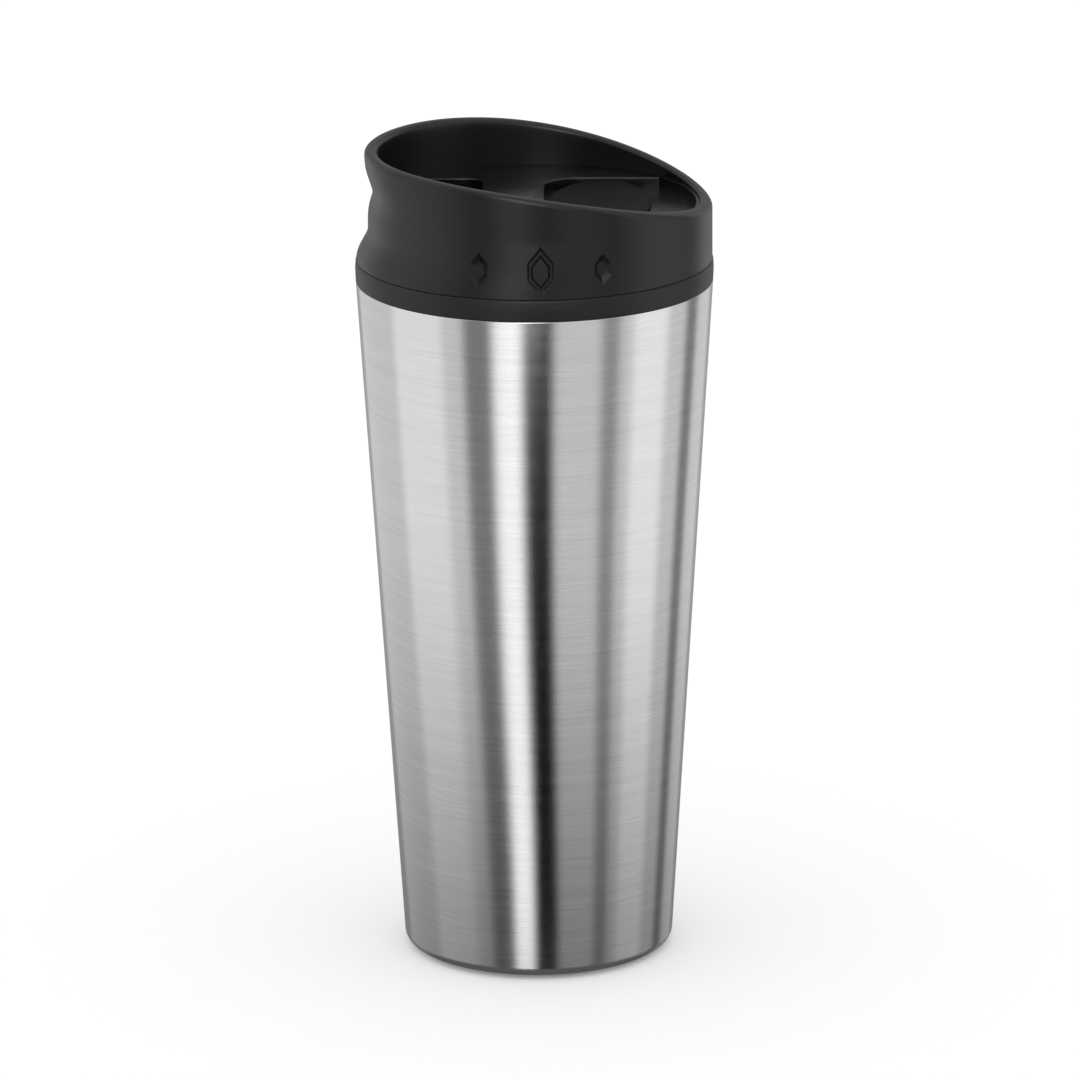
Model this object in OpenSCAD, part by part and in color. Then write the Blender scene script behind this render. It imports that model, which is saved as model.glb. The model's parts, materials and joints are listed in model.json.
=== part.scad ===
// Insulated travel mug: tapered double-walled steel body, screw-on lid with a
// slanted rim, and a sprung rocker that lifts the drink plug.
// Millimetres, +Z up, origin at the middle of the base. The lip side faces -X.

/* [Body] */
// Height of the steel body's top edge above the table
body_h = 165.4; // [138:1:200]
// Outer radius that the steel taper would have at table level
base_r = 32.3; // [27:0.5:38]
// Outer radius of the steel body at its top edge
top_r = 42.5; // [42:0.5:51]
// Thickness of the steel shell and the steel liner
steel_t = 0.5; // [0.4:0.1:1]
// Outer radius of the rolled bottom corner
corner_r = 2.5; // [1.5:0.5:4]
// How far the foot pad stands out below the steel
foot_proud = 0.6; // [0.3:0.1:1.5]
// Width of the steel flange turned in under the base
base_flange = 4; // [3:0.5:8]

/* [Insulation] */
// Width of the gap between shell and liner
liner_gap = 4; // [3:0.5:5]
// Height of the liner's underside above the table
liner_lift = 12; // [8:0.5:20]
// Radius of the liner's bottom corner
liner_corner = 6; // [4:0.5:10]
// Clearance around the foam pieces
foam_gap = 0.3; // [0.2:0.1:0.5]

/* [Collar] */
// Height of the visible collar above the steel
collar_h = 5.2; // [4:0.2:8]
// How far the collar bulges past the steel
collar_bulge = 0.1; // [0:0.1:0.6]
// Depth from the collar's top to the gasket ledge
mouth_depth = 19.4; // [18:0.2:22]
// Thickness of the collar's threaded sleeve
sleeve_t = 1.6; // [1.4:0.1:2]
// Depth of the rib that centres the collar in the steel
rib_h = 3; // [2:0.5:5]

/* [Thread] */
// Rise of the lid in one full turn
thread_lead = 12; // [9:0.5:12]
// Number of thread starts
thread_starts = 3; // [2:1:3]
// Radial height of a thread ridge
thread_h = 0.9; // [0.7:0.1:1.1]
// Angle that one ridge runs round
thread_span = 150; // [90:10:170]
// Radial clearance between ridge and facing wall
thread_gap = 0.4; // [0.3:0.1:0.6]

/* [Lid] */
// Height of the rim's highest point above the collar
rim_h = 26.5; // [24:0.5:32]
// Radius of the arc that the rim's slant follows
slant_r = 250; // [200:10:300]
// Distance from the axis to the arc's highest point, on the lip side
slant_x = 38; // [34:1:42]
// Shift of the upper wall away from the lip side
lid_shift = 1.1; // [0.5:0.1:1.5]
// Thickness of the upper wall and rim
rim_t = 3.2; // [2.8:0.1:3.6]
// Inward lean of the lid's lower wall
lean = 5.9; // [4:0.1:6.5]
// Height of the deck above the collar
deck_h = 13.4; // [13:0.2:16]
// Thickness of the deck
deck_t = 2; // [1.6:0.1:2.4]
// Half width of the drink opening and of the rocker recess
bay_half_w = 24; // [20:0.5:25]
// Depth of the rocker recess below the deck
recess_depth = 2.6; // [2.2:0.1:3]
// Thickness of the lid's inner floor
floor_t = 1.8; // [1.4:0.1:2.2]

/* [Rocker] */
// Distance of the rocker's pivot from the mug's axis
pivot_x = 17; // [15:0.5:18]
// Height of the pivot below the deck's top
pivot_drop = 7; // [6.8:0.1:7.4]
// Radius of the pivot pin
pin_r = 1; // [0.8:0.1:1.2]
// Running clearance of the rocker on the pin
pin_gap = 0.05; // [0.03:0.01:0.1]
// Thickness of the rocker arm
arm_t = 2; // [1.8:0.1:2.4]
// Thickness of the thumb pad's plate
pad_t = 1.1; // [1:0.1:1.2]
// Length of the drink slot
slot_l = 16; // [12:0.5:18]
// Width of the drink slot
slot_w = 6; // [5:0.5:7]

/* [Hidden] */
$fn = 96;
BIG = 400;
EPS = 0.01;

// body
taper = atan((top_r - base_r) / body_h);
shell_bottom = foot_proud;
flange_r = base_r - corner_r - base_flange;
corner_z = shell_bottom + corner_r;
foot_t = foot_proud + steel_t;
foot_r = flange_r - 0.3;
foot_dish_r = foot_r - 6;
foot_dish = 0.5;

// collar and liner, worked from the steel inwards
collar_top = body_h + collar_h;
rib_gap = 0.2;
rib_t = 1;
rib_r = shell_r(body_h - rib_h) - steel_t - rib_gap;
ledge_top = collar_top - mouth_depth;
ledge_t = 1.6;
ledge_bottom = ledge_top - ledge_t;
shoulder_top = ledge_bottom - 1.2;
shoulder_h = 2.4;
neck_gap = 0.3;
neck_r = min(rib_r - rib_t, shell_r(shoulder_top) - steel_t / cos(taper)) - neck_gap;
neck_bore_r = neck_r - steel_t;
neck_top = body_h - 1;
sleeve_gap = 0.2;
sleeve_r = neck_bore_r - sleeve_gap;
mouth_r = sleeve_r - sleeve_t;
o_ring_r = 0.47;
o_groove = 0.8;
o_groove_half = 0.6;
neck_o_z = neck_top - 8.4;

// thread: the two halves start half a pitch apart
ridge_steps = 24;
ridge_fade = 3;
ridge_base_w = 1.6;
ridge_tip_w = 0.7;
ridge_sink = 0.25;
thread_crest_r = mouth_r - thread_h;
pitch = thread_lead / thread_starts;
female_z = ledge_top + 7.6;
male_z = female_z - pitch / 2;

// lid
lid_r = top_r - 0.2;
lid_bottom = collar_top + 0.15;
deck_top = collar_top + deck_h;
deck_bottom = deck_top - deck_t;
recess_floor = deck_top - recess_depth;
recess_floor_t = 1.4;
recess_under = recess_floor - recess_floor_t;
rim_top = collar_top + rim_h;
upper_r = lid_r - lid_shift + 0.02;
bowl_r = upper_r - rim_t;
lid_bore_r = lid_r - 3.8;
deck_r = lid_bore_r - 0.05;
skirt_r = thread_crest_r - thread_gap;
skirt_t = 1.8;
skirt_in_r = skirt_r - skirt_t;
gasket_t = 2;
gasket_seat = ledge_top + gasket_t;
gasket_neck_r = skirt_r - 1;
ledge_r = skirt_in_r + 0.3;
floor_bottom = collar_top - 1.1;
floor_top = floor_bottom + floor_t;
wall_r = lid_bore_r - 0.2;
wall_t = 1.6;
wall_top = recess_under;
lid_o_z = wall_top - 3;
snap_z = floor_top + 1.9;
snap_h = 0.6;
bridge_x0 = -12.4;
pad_in_reach = 13.7;
pad_gap = 0.8;
bridge_x1 = pivot_x - pad_in_reach - pad_gap;
bay_side_t = 1.4;
bay_corner = 4;
recess_corner = 8;
side_half_l = sqrt(pow(wall_r - wall_t - 0.3, 2) - pow(bay_half_w + bay_side_t, 2));

// lip notch: a ring shape that bites only into the lip side
notch_r = 7;
notch_reach = lid_r - 4.1;
notch_ring_r = 60;
notch_z = collar_top + 16.8;

// grip dimples round the lid's lower wall
dimple_z = collar_top + 6.6;
dimple_turn = 20.3;
front_face = -88;

// rocker
pivot_z = deck_top - pivot_drop;
arm_top = pivot_z - 0.6;
arm_bottom = arm_top - arm_t;
arm_w = 11;
hub_half_y = 10.4;
hub_x0 = pivot_x - 7;
hub_x1 = pivot_x + 4;
hub_top = recess_under - 0.3;
hub_bottom = arm_bottom - 0.4;
lug_gap = 0.6;
lug_t = 3;
lug_half_x = 3.5;
pad_half_y = bay_half_w - 0.5;
pad_out_reach = 10.8;
pad_in_arc = 30.2;
pad_out_arc = 38.8;
pad_bottom = deck_top - pad_t;
pad_dish = 0.3;
pad_dish_r = 160;
post_r = 2.2;
post_x = pivot_x - 3.9;
post_y = 6;
screw_r = 0.8;
screw_head_r = 1.6;
screw_head_h = 1;
screw_bite = 1.6;
plug_x = -28;
plug_land = 1.5;
plug_fit = 0.5;
seal_gap = 0.05;
nose_drop = 1.3;
rivet_r = 1.15;
rivet_head_r = 2.2;
rivet_y = 4.5;
spring_x = bridge_x1 - 6.7;
vent_x = spring_x - 6.4;
vent_r = 1.6;
vent_nose_r = 1.1;
spring_r = 2.5;
wire_r = 0.25;
spring_turns = 5;
boss_r = 1.9;
boss_h = 1.2;

function shell_r(z) = base_r + (top_r - base_r) * z / body_h;
function liner_r(z) = shell_r(z) - steel_t - liner_gap;

// Points of an arc in a profile, from angle a0 to a1.
function arc(x, z, r, a0, a1, n = 10) =
    [for (i = [0:n]) let (a = a0 + (a1 - a0) * i / n) [x + r * cos(a), z + r * sin(a)]];

module ring(r_out, r_in, z0, z1) {
    translate([0, 0, z0]) difference() {
        cylinder(r = r_out, h = z1 - z0);
        translate([0, 0, -1]) cylinder(r = r_in, h = z1 - z0 + 2);
    }
}

// A block from corner to corner.
module block(lo, hi) {
    translate(lo) cube(hi - lo);
}

// A slot-shaped plate with its long side along Y.
module slot(length, width, z0, z1) {
    half = (length - width) / 2;
    translate([0, 0, z0]) {
        for (y = [-half, half]) translate([0, y, 0]) cylinder(d = width, h = z1 - z0, $fn = 48);
        translate([-width / 2, -half, 0]) cube([width, 2 * half, z1 - z0]);
    }
}

// A plate with rounded corners, from (x0, -half_y) to (x1, half_y).
module rounded_plate(x0, x1, half_y, r, z0, z1) {
    translate([0, 0, z0]) {
        for (x = [x0 + r, x1 - r], y = [-half_y + r, half_y - r])
            translate([x, y, 0]) cylinder(r = r, h = z1 - z0, $fn = 48);
        translate([x0 + r, -half_y, 0]) cube([x1 - x0 - 2 * r, 2 * half_y, z1 - z0]);
        translate([x0, -half_y + r, 0]) cube([x1 - x0, 2 * half_y - 2 * r, z1 - z0]);
    }
}

// Thread ridges on a wall, each a swept trapezoid that fades in and out.
// With tip_r above wall_r the ridges stand outwards, otherwise inwards.
module thread_ridges(wall_r, tip_r, z0) {
    side = sign(tip_r - wall_r);
    points = [for (i = [0:ridge_steps])
        let (a = thread_span * i / ridge_steps, z = thread_lead * a / 360,
             k = max(0.1, min(1, i / ridge_fade, (ridge_steps - i) / ridge_fade)),
             tip = wall_r + k * (tip_r - wall_r), root = wall_r - side * ridge_sink)
        for (p = [[root, -ridge_base_w], [tip, -ridge_tip_w], [tip, ridge_tip_w], [root, ridge_base_w]])
            [p[0] * cos(a), p[0] * sin(a), z + side * p[1] / 2]];
    last = 4 * ridge_steps;
    faces = concat([[3, 2, 1, 0], [last, last + 1, last + 2, last + 3]],
        [for (i = [0:ridge_steps - 1], j = [0:3])
            let (a = 4 * i + j, b = 4 * i + (j + 1) % 4)
            each [[a, b, b + 4], [a, b + 4, a + 4]]]);
    for (k = [0:thread_starts - 1]) translate([0, 0, z0]) rotate(360 * k / thread_starts)
        polyhedron(points, faces, convexity = 4);
}

module outer_shell() {
    lip = steel_t / cos(taper);
    corner_x = shell_r(corner_z) - corner_r / cos(taper);
    color("silver") rotate_extrude($fn = 128) polygon(concat(
        [[flange_r, shell_bottom]],
        arc(corner_x, corner_z, corner_r, -90, -taper),
        [[top_r, body_h], [top_r - lip, body_h]],
        arc(corner_x, corner_z, corner_r - steel_t, -taper, -90),
        [[flange_r, shell_bottom + steel_t]]));
}

module base_plate() {
    color("silver") translate([0, 0, shell_bottom + steel_t])
        cylinder(r = base_r - corner_r - 0.8, h = steel_t);
}

module foot_pad() {
    color("dimgray") difference() {
        cylinder(r = foot_r, h = foot_t);
        translate([0, 0, -1]) cylinder(r = foot_dish_r, h = 1 + foot_dish);
    }
}

module inner_liner() {
    cx = liner_r(liner_lift + liner_corner) - liner_corner / cos(taper);
    cz = liner_lift + liner_corner;
    shoulder_z = shoulder_top - shoulder_h;
    color("gainsboro") rotate_extrude($fn = 128) polygon(concat(
        [[0, liner_lift]],
        arc(cx, cz, liner_corner, -90, -taper),
        [[liner_r(shoulder_z), shoulder_z], [neck_r, shoulder_top], [neck_r, neck_top],
         [neck_bore_r, neck_top], [neck_bore_r, shoulder_top + steel_t / 2],
         [liner_r(shoulder_z) - steel_t, shoulder_z + steel_t / 2]],
        arc(cx, cz, liner_corner - steel_t, -taper, -90),
        [[0, liner_lift + steel_t]]));
}

module foam_sleeve() {
    z0 = liner_lift + liner_corner;
    z1 = shoulder_top - shoulder_h - 1;
    inset = steel_t / cos(taper) + foam_gap;
    color("ivory") rotate_extrude() polygon([
        [liner_r(z0) + foam_gap, z0], [shell_r(z0) - inset, z0],
        [shell_r(z1) - inset, z1], [liner_r(z1) + foam_gap, z1]]);
}

module foam_base() {
    z0 = shell_bottom + 2 * steel_t;
    z1 = liner_lift;
    inset = steel_t / cos(taper) + foam_gap;
    color("ivory") rotate_extrude() polygon([
        [0, z0], [base_r - corner_r, z0], [shell_r(corner_z + 1) - inset, corner_z + 1],
        [shell_r(z1) - inset, z1], [0, z1]]);
}

module collar_ring() {
    seat = body_h;
    groove_r = sleeve_r - o_groove;
    chamfer = 0.8;
    bulge = [for (i = [0:8]) let (t = i / 8)
        [top_r + collar_bulge * sin(180 * t), seat + (collar_h - 0.2) * t]];
    color("#282523") {
        rotate_extrude($fn = 128) polygon(concat(
            [[ledge_r, ledge_bottom], [sleeve_r, ledge_bottom],
             [sleeve_r, neck_o_z - o_groove_half], [groove_r, neck_o_z - o_groove_half],
             [groove_r, neck_o_z + o_groove_half], [sleeve_r, neck_o_z + o_groove_half],
             [sleeve_r, seat], [rib_r - rib_t, seat], [rib_r - rib_t, seat - rib_h],
             [rib_r, seat - rib_h], [rib_r, seat]],
            bulge,
            [[top_r - 0.2, collar_top], [mouth_r + chamfer, collar_top],
             [mouth_r, collar_top - chamfer], [mouth_r, ledge_top], [ledge_r, ledge_top]]));
        thread_ridges(mouth_r, thread_crest_r, female_z);
    }
}

module lip_seal() {
    color("darkslategray") ring(neck_r + 0.1, neck_bore_r - 0.1, neck_top, body_h);
}

module neck_o_ring() {
    color("darkslategray") rotate_extrude() translate([neck_bore_r - 0.5, neck_o_z])
        circle(r = o_ring_r, $fn = 24);
}

module lid_gasket() {
    color("dimgray") ring(skirt_r - 0.1, gasket_neck_r + 0.1, ledge_top, gasket_seat);
}

// Closed region of the lid's outside: a leaning cone below, a shifted cylinder above.
module lid_outside() {
    sink = 8;
    cone_r = lid_r * 2 / (2 * cos(lean) + sin(lean) * tan(2 * lean));
    cone_x = lid_r - cone_r * cos(lean);
    cone_top = deck_h + 1;
    intersection() {
        union() {
            translate([cone_x, 0, lid_bottom]) rotate([0, lean, 0]) translate([0, 0, -sink])
                cylinder(r1 = cone_r + sink * tan(lean), r2 = cone_r - cone_top * tan(lean),
                         h = sink + cone_top, $fn = 128);
            translate([lid_shift, 0, lid_bottom]) cylinder(r = upper_r, h = 2 * rim_h, $fn = 128);
        }
        translate([0, 0, lid_bottom]) cylinder(r = top_r + 1, h = 2 * rim_h);
        translate([-slant_x, 0, rim_top - slant_r]) rotate([90, 0, 0])
            cylinder(r = slant_r, h = BIG, center = true, $fn = 360);
    }
}

module lip_notch() {
    translate([notch_ring_r - notch_reach, 0, notch_z]) rotate_extrude($fn = 128)
        translate([notch_ring_r + notch_r, 0]) circle(r = notch_r, $fn = 48);
}

// A pointed grip dimple pressed into the wall at angle a.
module dimple(a, w, h, flat, depth) {
    outline = [[0, -h], [w, -flat], [w, flat], [0, h], [-w, flat], [-w, -flat]] / 2;
    rotate(a) translate([lid_r - 0.6 - depth, 0, dimple_z]) rotate([90, 0, 90])
        linear_extrude(4) polygon(outline);
}

module grip_dimples() {
    for (face = [front_face, -front_face]) {
        difference() {
            dimple(face, 6.7, 12, 3, 0.8);
            rotate(face) translate([lid_r - 4, 0, dimple_z]) rotate([90, 0, 90])
                linear_extrude(3) polygon([[0, -4.8], [2.1, -0.8], [2.1, 0.8], [0, 4.8],
                                           [-2.1, 0.8], [-2.1, -0.8]]);
        }
        for (side = [-1, 1]) dimple(face + side * dimple_turn, 4.3, 6.8, 2, 0.6);
    }
}

// The thumb pad's outline, an oval between two arcs, as a plate from z0 to z1.
module pad_plan(z0, z1) {
    intersection() {
        translate([pivot_x - pad_in_reach + pad_in_arc, 0, z0])
            cylinder(r = pad_in_arc, h = z1 - z0, $fn = 128);
        translate([pivot_x + pad_out_reach - pad_out_arc, 0, z0])
            cylinder(r = pad_out_arc, h = z1 - z0, $fn = 128);
        block([pivot_x - pad_in_arc, -pad_half_y, z0], [pivot_x + pad_out_arc, pad_half_y, z1]);
    }
}

module lid_shell() {
    color("#1c1c1d") difference() {
        lid_outside();
        translate([0, 0, lid_bottom - 1]) cylinder(r = lid_bore_r, h = deck_top - lid_bottom + 1);
        translate([0, 0, snap_z - snap_h]) cylinder(r = lid_bore_r + 0.6, h = 2 * snap_h);
        translate([lid_shift, 0, deck_top - EPS]) cylinder(r = bowl_r, h = rim_h);
        lip_notch();
        grip_dimples();
    }
}

// The deck is pushed up into the shell's bore, against the shoulder on the lip side.
module lid_deck() {
    lug_y0 = hub_half_y + lug_gap;
    color("#202022") difference() {
        union() {
            translate([0, 0, deck_bottom]) cylinder(r = deck_r, h = deck_t);
            // floor of the rocker recess
            intersection() {
                block([bridge_x1 - bay_side_t, -bay_half_w - bay_side_t, recess_under],
                      [top_r, bay_half_w + bay_side_t, deck_bottom + EPS]);
                translate([0, 0, recess_under]) cylinder(r = deck_r, h = deck_t);
            }
            // side walls that hang down along the bay
            for (side = [-1, 1]) translate([0, side * (bay_half_w + bay_side_t / 2), 0])
                block([-side_half_l, -bay_side_t / 2, floor_top + 0.5],
                      [side_half_l, bay_side_t / 2, deck_bottom + EPS]);
            // lugs for the pivot pin
            for (side = [-1, 1]) translate([pivot_x, side * (lug_y0 + lug_t / 2), 0]) {
                block([-lug_half_x, -lug_t / 2, pivot_z], [lug_half_x, lug_t / 2, recess_under + EPS]);
                translate([0, 0, pivot_z]) rotate([90, 0, 0])
                    cylinder(r = lug_half_x - 0.7, h = lug_t, center = true);
            }
            // boss that holds the spring's upper end
            translate([spring_x, 0, deck_bottom - boss_h]) cylinder(r = boss_r, h = boss_h + EPS);
        }
        // drink opening
        intersection() {
            rounded_plate(-top_r, bridge_x0, bay_half_w, bay_corner, deck_bottom - 1, deck_top + 1);
            translate([lid_shift, 0, deck_bottom - 1]) cylinder(r = bowl_r - 2, h = deck_t + 2);
        }
        // rocker recess, open towards the low side of the rim
        rounded_plate(bridge_x1, 2 * top_r, bay_half_w, recess_corner, recess_floor, deck_top + 1);
        // opening for the rocker's hub and posts
        rounded_plate(hub_x0 - 0.8, hub_x1 + 1.6, hub_half_y + 0.4, 1.5, recess_under - 1, recess_floor + 1);
        translate([pivot_x, 0, pivot_z]) rotate([90, 0, 0])
            cylinder(r = pin_r + 0.02, h = 2 * (lug_y0 + lug_t) + 2, center = true);
    }
}

module lid_floor() {
    flange_z = collar_top + 0.4;
    wall_in_r = wall_r - wall_t;
    color("#242424") {
        difference() {
            rotate_extrude($fn = 128) polygon([
                [0, floor_bottom], [skirt_in_r, floor_bottom], [skirt_in_r, gasket_seat - 1.6],
                [gasket_neck_r, gasket_seat - 1.6], [gasket_neck_r, gasket_seat],
                [skirt_r, gasket_seat], [skirt_r, flange_z], [wall_r, flange_z],
                [wall_r, snap_z - 0.4], [wall_r + 0.5, snap_z], [wall_r, snap_z + 0.4],
                [wall_r, lid_o_z - o_groove_half], [wall_r - o_groove, lid_o_z - o_groove_half],
                [wall_r - o_groove, lid_o_z + o_groove_half], [wall_r, lid_o_z + o_groove_half],
                [wall_r, wall_top], [wall_in_r, wall_top], [wall_in_r, floor_top], [0, floor_top]]);
            translate([plug_x, 0, 0]) slot(slot_l, slot_w, floor_bottom - 1, floor_top + 1);
            translate([vent_x, 0, floor_bottom - 1]) cylinder(r = vent_r, h = floor_t + 2, $fn = 48);
        }
        thread_ridges(skirt_r, skirt_r + thread_h, male_z);
    }
}

module lid_o_ring() {
    color("darkslategray") rotate_extrude() translate([lid_bore_r - 0.5, lid_o_z])
        circle(r = o_ring_r, $fn = 24);
}

module rocker_pad() {
    post_bottom = hub_top;
    color("#202021") difference() {
        union() {
            pad_plan(pad_bottom, deck_top);
            for (side = [-1, 1]) translate([post_x, side * post_y, post_bottom])
                cylinder(r = post_r, h = pad_bottom - post_bottom + EPS, $fn = 48);
        }
        translate([pivot_x, 0, deck_top - pad_dish + pad_dish_r]) sphere(r = pad_dish_r, $fn = 128);
        for (side = [-1, 1]) translate([post_x, side * post_y, post_bottom - 1])
            cylinder(r = screw_r + 0.03, h = 1 + screw_bite + 0.4, $fn = 24);
    }
}

module rocker_arm() {
    paddle_l = slot_l + 4;
    paddle_w = slot_w + 3;
    color("#242424") difference() {
        union() {
            rounded_plate(hub_x0, hub_x1, hub_half_y, 1, hub_bottom, hub_top);
            block([plug_x, -arm_w / 2, arm_bottom], [hub_x0 + 2, arm_w / 2, arm_top]);
            translate([plug_x, 0, 0]) slot(paddle_l, paddle_w, arm_bottom, arm_top);
            translate([spring_x, 0, arm_top - EPS]) cylinder(r = boss_r, h = boss_h, $fn = 48);
        }
        translate([pivot_x, 0, pivot_z]) rotate([90, 0, 0])
            cylinder(r = pin_r + pin_gap, h = 3 * hub_half_y, center = true);
        for (side = [-1, 1]) {
            translate([post_x, side * post_y, hub_bottom - 1])
                cylinder(r = screw_r + 0.1, h = BIG, $fn = 24);
            translate([plug_x, side * rivet_y, arm_bottom - 1])
                cylinder(r = rivet_r + 0.1, h = arm_t + 2, $fn = 24);
        }
        translate([vent_x, 0, arm_bottom - 1]) cylinder(r = 1.3, h = arm_t + 2, $fn = 24);
    }
}

module pad_screws() {
    color("silver") for (side = [-1, 1]) translate([post_x, side * post_y, hub_bottom]) {
        cylinder(r = screw_r, h = hub_top - hub_bottom + screw_bite, $fn = 24);
        translate([0, 0, -screw_head_h]) difference() {
            cylinder(r = screw_head_r, h = screw_head_h, $fn = 32);
            translate([-2 * screw_head_r, -0.2, -1]) cube([4 * screw_head_r, 0.4, 1.4]);
        }
    }
}

module pivot_pin() {
    length = 2 * (hub_half_y + lug_gap + lug_t) + 0.4;
    color("lightgray") translate([pivot_x, 0, pivot_z]) rotate([90, 0, 0])
        cylinder(r = pin_r, h = length, center = true, $fn = 48);
}

// Round wire wound on a helix, with a nearly flat turn at each end.
module closing_spring() {
    sides = 6;
    per_turn = 16;
    rings = spring_turns * per_turn;
    z0 = arm_top + wire_r;
    rise = deck_bottom - arm_top - 2 * wire_r;
    flat = 0.8 / spring_turns;
    points = [for (i = [0:rings])
        let (t = i / rings, a = 360 * spring_turns * t,
             z = z0 + rise * max(0, min(1, (t - flat) / (1 - 2 * flat))))
        for (j = [0:sides - 1])
            let (q = 360 * j / sides, r = spring_r + wire_r * cos(q))
            [r * cos(a), r * sin(a), z + wire_r * sin(q)]];
    faces = concat([[for (j = [0:sides - 1]) sides - 1 - j]],
        [[for (j = [0:sides - 1]) rings * sides + j]],
        [for (i = [0:rings - 1], j = [0:sides - 1])
            let (a = sides * i + j, b = sides * i + (j + 1) % sides)
            each [[a, b, b + sides], [a, b + sides, a + sides]]]);
    color("lightgray") translate([spring_x, 0, 0]) polyhedron(points, faces, convexity = 8);
}

module drink_plug() {
    color("darkgray") translate([plug_x, 0, 0]) difference() {
        union() {
            slot(slot_l + 2 * plug_land, slot_w + 2 * plug_land, floor_top + seal_gap, arm_bottom);
            slot(slot_l - 2 * plug_fit, slot_w - 2 * plug_fit, floor_top - nose_drop, arm_bottom);
        }
        for (side = [-1, 1]) translate([0, side * rivet_y, floor_top + 0.6])
            cylinder(r = rivet_r + 0.05, h = BIG, $fn = 24);
    }
}

module plug_rivets() {
    color("#303030") for (side = [-1, 1]) translate([plug_x, side * rivet_y, 0]) {
        translate([0, 0, floor_top + 0.8]) cylinder(r = rivet_r, h = arm_top - floor_top, $fn = 24);
        translate([0, 0, arm_top]) cylinder(r = rivet_head_r, h = 0.8, $fn = 32);
    }
}

module vent_plug() {
    color("darkgray") translate([vent_x, 0, 0]) {
        translate([0, 0, floor_top + seal_gap])
            cylinder(r = vent_r + 1.2, h = arm_bottom - floor_top - seal_gap, $fn = 48);
        translate([0, 0, floor_top - nose_drop + 0.2]) cylinder(r = vent_nose_r, h = 3, $fn = 24);
        translate([0, 0, arm_bottom - EPS]) cylinder(r = 1.2, h = arm_t + 0.4, $fn = 24);
        translate([0, 0, arm_top + 0.02]) cylinder(r = 1.9, h = 0.8, $fn = 32);
    }
}

outer_shell();
base_plate();
foot_pad();
inner_liner();
foam_sleeve();
foam_base();
collar_ring();
lip_seal();
neck_o_ring();
lid_gasket();
lid_shell();
lid_deck();
lid_floor();
lid_o_ring();
rocker_pad();
rocker_arm();
pad_screws();
pivot_pin();
closing_spring();
drink_plug();
plug_rivets();
vent_plug();
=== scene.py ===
# %% [markdown]
# # An insulated travel mug, dressed in Blender
# The mug is a tapered double-walled steel cup with a black screw-on lid. The lid's rim is cut on
# a slant, and a sprung thumb pad inside it opens the drink slot.
# The CAD model already holds every size, joint and fit. This script loads it as a fixed frame and
# makes the looks: it rebuilds the parts that show with soft edges, and gives each part a finish.

# %% Load the frame
import json
import math

import bmesh
import bpy
from mathutils import Matrix, Vector


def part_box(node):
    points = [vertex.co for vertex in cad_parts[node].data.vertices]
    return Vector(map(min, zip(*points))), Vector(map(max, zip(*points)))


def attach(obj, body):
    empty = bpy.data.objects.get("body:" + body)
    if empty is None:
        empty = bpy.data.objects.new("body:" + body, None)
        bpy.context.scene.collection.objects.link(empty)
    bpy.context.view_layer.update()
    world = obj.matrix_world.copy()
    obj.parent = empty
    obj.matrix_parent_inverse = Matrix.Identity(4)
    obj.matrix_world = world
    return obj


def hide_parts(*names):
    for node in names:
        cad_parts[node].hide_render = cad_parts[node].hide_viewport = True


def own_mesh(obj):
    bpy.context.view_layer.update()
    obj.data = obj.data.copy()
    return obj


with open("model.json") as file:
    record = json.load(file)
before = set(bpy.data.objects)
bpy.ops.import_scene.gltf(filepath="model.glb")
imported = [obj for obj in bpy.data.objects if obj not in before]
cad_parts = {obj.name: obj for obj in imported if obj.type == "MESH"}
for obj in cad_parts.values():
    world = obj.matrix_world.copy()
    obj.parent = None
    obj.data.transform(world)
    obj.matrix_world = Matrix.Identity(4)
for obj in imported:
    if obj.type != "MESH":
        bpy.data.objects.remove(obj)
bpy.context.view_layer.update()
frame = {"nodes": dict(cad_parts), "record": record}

# %% [markdown]
# ## The camera first
# The camera stands far off with a long lens and looks down by about 16 degrees, so the sides of
# the mug stay almost straight. A small roll levels the picture.

# %% Camera
MM = 0.001
AIM_X = 0.9
CAMERA_PLACE = Vector((AIM_X, -1772.9, 615.3)) * MM
CAMERA_AIM = Vector((AIM_X, 0, 100.5)) * MM
CAMERA_ROLL = -0.0065
scene = bpy.context.scene
camera_data = bpy.data.cameras.new("camera")
camera_data.lens = 256.4
camera_data.clip_end = 50
camera = bpy.data.objects.new("camera", camera_data)
camera.rotation_mode = "QUATERNION"
camera.location = CAMERA_PLACE
towards_mug = (CAMERA_AIM - CAMERA_PLACE).to_track_quat("-Z", "Y").to_matrix()
camera.rotation_quaternion = (towards_mug @ Matrix.Rotation(CAMERA_ROLL, 3, "Z")).to_quaternion()
scene.collection.objects.link(camera)
scene.camera = camera
print("camera", round((CAMERA_AIM - CAMERA_PLACE).length, 3), "m away")

# %% [markdown]
# ## Shader maths as Python
# A finish is a tree of nodes. Wiring each one by hand hides the idea, so a small class wraps a
# socket, and its operators add the Math node that does the sum. A second class holds one
# material and adds every other kind of node through a single method.


# %% Wire and Finish
class Wire:
    """One output socket, with arithmetic."""

    def __init__(self, finish, socket):
        self.finish = finish
        self.socket = socket

    def math(self, operation, *values):
        return self.finish.node("Math", {"operation": operation}, dict(enumerate(values)))

    def __add__(self, other):
        return self.math("ADD", self, other)

    def __radd__(self, other):
        return self.math("ADD", other, self)

    def __sub__(self, other):
        return self.math("SUBTRACT", self, other)

    def __rsub__(self, other):
        return self.math("SUBTRACT", other, self)

    def __mul__(self, other):
        return self.math("MULTIPLY", self, other)

    def __rmul__(self, other):
        return self.math("MULTIPLY", other, self)

    def __truediv__(self, other):
        return self.math("DIVIDE", self, other)


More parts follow.
